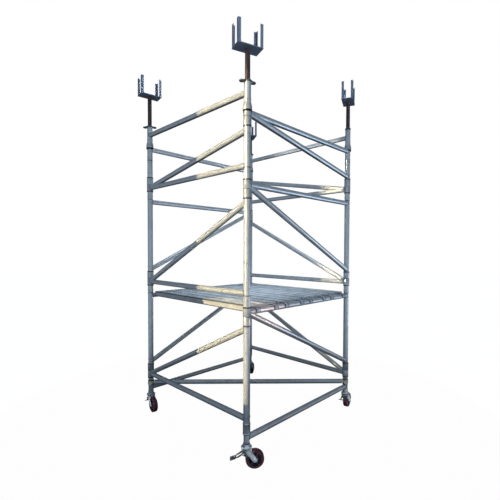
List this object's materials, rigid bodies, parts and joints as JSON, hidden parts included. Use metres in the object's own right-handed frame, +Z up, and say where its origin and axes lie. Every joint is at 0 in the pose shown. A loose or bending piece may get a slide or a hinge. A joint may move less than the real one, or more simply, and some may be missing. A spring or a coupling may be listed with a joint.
{
  "type": "mobile tower scaffold",
  "caption": "Mobile tower scaffold of stacked triangular tube frames on a square plan, with a plank deck, screw jacks with fork heads on top and braked swivel casters below.",
  "frame": {"origin": "on the floor, under the middle of the whole object's box", "axes": "+Z up; +X along the right-front side, from the near corner to the right corner; +Y along the left-front side, from the near corner to the left corner"},
  "size_m": [1.763, 1.7294, 3.543],
  "materials": {
    "galvanised": "dull galvanised, mottled",
    "deck_steel": "dull galvanised sheet, streaked",
    "thread_steel": "rusty rolled thread",
    "nut_steel": "dark galvanised casting",
    "head_steel": "dark worn steel",
    "coupler_zinc": "yellow zinc plate",
    "caster_zinc": "bright zinc plate",
    "tread": "dull dark red polyurethane",
    "wheel_core": "black casting",
    "pedal": "black satin"
  },
  "bodies": {
    "tower": {"deck_plank_1": "deck_steel", "deck_plank_2": "deck_steel", "deck_plank_3": "deck_steel", "deck_plank_4": "deck_steel", "far_caster_stem": "caster_zinc", "left_back_base_rail": "galvanised", "left_back_frame_low": "galvanised", "left_back_frame_mid": "galvanised", "left_back_frame_top": "galvanised", "left_brace_coupler": "coupler_zinc", "left_caster_stem": "caster_zinc", "left_front_frame_low": "galvanised", "left_front_frame_mid": "galvanised", "left_front_frame_top": "galvanised", "left_front_top_rail": "galvanised", "near_caster_stem": "caster_zinc", "plan_brace": "galvanised", "right_back_frame_low": "galvanised", "right_back_frame_mid": "galvanised", "right_back_frame_top": "galvanised", "right_back_top_rail": "galvanised", "right_brace_coupler": "coupler_zinc", "right_caster_stem": "caster_zinc", "right_front_base_rail": "galvanised", "right_front_frame_low": "galvanised", "right_front_frame_mid": "galvanised", "right_front_frame_top": "galvanised"},
    "near_swivel": {"near_caster_fork": "caster_zinc", "near_caster_axle": "caster_zinc"},
    "near_wheel": {"near_wheel_tread": "tread", "near_wheel_core": "wheel_core"},
    "near_pedal": {"near_brake_pedal": "pedal"},
    "near_nut": {"near_wing_nut": "nut_steel"},
    "near_jack": {"near_spindle": "thread_steel"},
    "near_head": {"near_fork_head": "head_steel"},
    "right_swivel": {"right_caster_fork": "caster_zinc", "right_caster_axle": "caster_zinc"},
    "right_wheel": {"right_wheel_tread": "tread", "right_wheel_core": "wheel_core"},
    "right_pedal": {"right_brake_pedal": "pedal"},
    "right_nut": {"right_wing_nut": "nut_steel"},
    "right_jack": {"right_spindle": "thread_steel"},
    "right_head": {"right_fork_head": "head_steel"},
    "left_swivel": {"left_caster_fork": "caster_zinc", "left_caster_axle": "caster_zinc"},
    "left_wheel": {"left_wheel_tread": "tread", "left_wheel_core": "wheel_core"},
    "left_pedal": {"left_brake_pedal": "pedal"},
    "left_nut": {"left_wing_nut": "nut_steel"},
    "left_jack": {"left_spindle": "thread_steel"},
    "left_head": {"left_fork_head": "head_steel"},
    "far_swivel": {"far_caster_fork": "caster_zinc", "far_caster_axle": "caster_zinc"},
    "far_wheel": {"far_wheel_tread": "tread", "far_wheel_core": "wheel_core"},
    "far_pedal": {"far_brake_pedal": "pedal"},
    "far_nut": {"far_wing_nut": "nut_steel"},
    "far_jack": {"far_spindle": "thread_steel"},
    "far_head": {"far_fork_head": "head_steel"}
  },
  "joints": [
    {"name": "near_swivel_turn", "type": "hinge", "parent": "tower", "child": "near_swivel", "pos_m": [-0.75949, -0.75958, 0.16], "axis": [0, 0, 1], "continuous": true},
    {"name": "near_wheel_spin", "type": "hinge", "parent": "near_swivel", "child": "near_wheel", "pos_m": [-0.70893, -0.80201, 0.075], "axis": [0.6428, 0.766, 0], "continuous": true},
    {"name": "near_brake_press", "type": "hinge", "parent": "near_swivel", "child": "near_pedal", "pos_m": [-0.78017, -0.74223, 0.128], "axis": [0.6428, 0.766, 0], "range_deg": [-13, 31]},
    {"name": "near_nut_turn", "type": "hinge", "parent": "tower", "child": "near_nut", "pos_m": [-0.75949, -0.75958, 3.033], "axis": [0, 0, 1], "range_deg": [-7200, 4320]},
    {"name": "near_jack_travel", "type": "slide", "parent": "tower", "child": "near_jack", "axis": [0, 0, 1], "range_m": [-0.161, 0.097]},
    {"name": "near_head_turn", "type": "hinge", "parent": "near_jack", "child": "near_head", "pos_m": [-0.75949, -0.75958, 3.285], "axis": [0, 0, 1], "continuous": true},
    {"name": "right_swivel_turn", "type": "hinge", "parent": "tower", "child": "right_swivel", "pos_m": [0.74051, -0.75958, 0.16], "axis": [0, 0, 1], "continuous": true},
    {"name": "right_wheel_spin", "type": "hinge", "parent": "right_swivel", "child": "right_wheel", "pos_m": [0.80507, -0.74586, 0.075], "axis": [-0.2079, 0.9781, 0], "continuous": true},
    {"name": "right_brake_press", "type": "hinge", "parent": "right_swivel", "child": "right_pedal", "pos_m": [0.7141, -0.7652, 0.128], "axis": [-0.2079, 0.9781, 0], "range_deg": [-44, 0]},
    {"name": "right_nut_turn", "type": "hinge", "parent": "tower", "child": "right_nut", "pos_m": [0.74051, -0.75958, 3.033], "axis": [0, 0, 1], "range_deg": [-7200, 4320]},
    {"name": "right_jack_travel", "type": "slide", "parent": "tower", "child": "right_jack", "axis": [0, 0, 1], "range_m": [-0.161, 0.097]},
    {"name": "right_head_turn", "type": "hinge", "parent": "right_jack", "child": "right_head", "pos_m": [0.74051, -0.75958, 3.329], "axis": [0, 0, 1], "continuous": true},
    {"name": "left_swivel_turn", "type": "hinge", "parent": "tower", "child": "left_swivel", "pos_m": [-0.75949, 0.74042, 0.16], "axis": [0, 0, 1], "continuous": true},
    {"name": "left_wheel_spin", "type": "hinge", "parent": "left_swivel", "child": "left_wheel", "pos_m": [-0.76867, 0.67506, 0.075], "axis": [0.9903, -0.1392, 0], "continuous": true},
    {"name": "left_brake_press", "type": "hinge", "parent": "left_swivel", "child": "left_pedal", "pos_m": [-0.75573, 0.76715, 0.128], "axis": [0.9903, -0.1392, 0], "range_deg": [0, 44]},
    {"name": "left_nut_turn", "type": "hinge", "parent": "tower", "child": "left_nut", "pos_m": [-0.75949, 0.74042, 3.033], "axis": [0, 0, 1], "range_deg": [-7200, 4320]},
    {"name": "left_jack_travel", "type": "slide", "parent": "tower", "child": "left_jack", "axis": [0, 0, 1], "range_m": [-0.161, 0.097]},
    {"name": "left_head_turn", "type": "hinge", "parent": "left_jack", "child": "left_head", "pos_m": [-0.75949, 0.74042, 3.357], "axis": [0, 0, 1], "continuous": true},
    {"name": "far_swivel_turn", "type": "hinge", "parent": "tower", "child": "far_swivel", "pos_m": [0.74051, 0.74042, 0.16], "axis": [0, 0, 1], "continuous": true},
    {"name": "far_wheel_spin", "type": "hinge", "parent": "far_swivel", "child": "far_wheel", "pos_m": [0.79878, 0.7714, 0.075], "axis": [-0.4695, 0.8829, 0], "continuous": true},
    {"name": "far_brake_press", "type": "hinge", "parent": "far_swivel", "child": "far_pedal", "pos_m": [0.71667, 0.72774, 0.128], "axis": [-0.4695, 0.8829, 0], "range_deg": [-44, 0]},
    {"name": "far_nut_turn", "type": "hinge", "parent": "tower", "child": "far_nut", "pos_m": [0.74051, 0.74042, 3.033], "axis": [0, 0, 1], "range_deg": [-7200, 4320]},
    {"name": "far_jack_travel", "type": "slide", "parent": "tower", "child": "far_jack", "axis": [0, 0, 1], "range_m": [-0.161, 0.097]},
    {"name": "far_head_turn", "type": "hinge", "parent": "far_jack", "child": "far_head", "pos_m": [0.74051, 0.74042, 3.272], "axis": [0, 0, 1], "continuous": true}
  ],
  "couplings": [
    {"joint": "near_jack_travel", "follows": "near_nut_turn", "m_per_rad": 0.0012732},
    {"joint": "right_jack_travel", "follows": "right_nut_turn", "m_per_rad": 0.0012732},
    {"joint": "left_jack_travel", "follows": "left_nut_turn", "m_per_rad": 0.0012732},
    {"joint": "far_jack_travel", "follows": "far_nut_turn", "m_per_rad": 0.0012732}
  ]
}
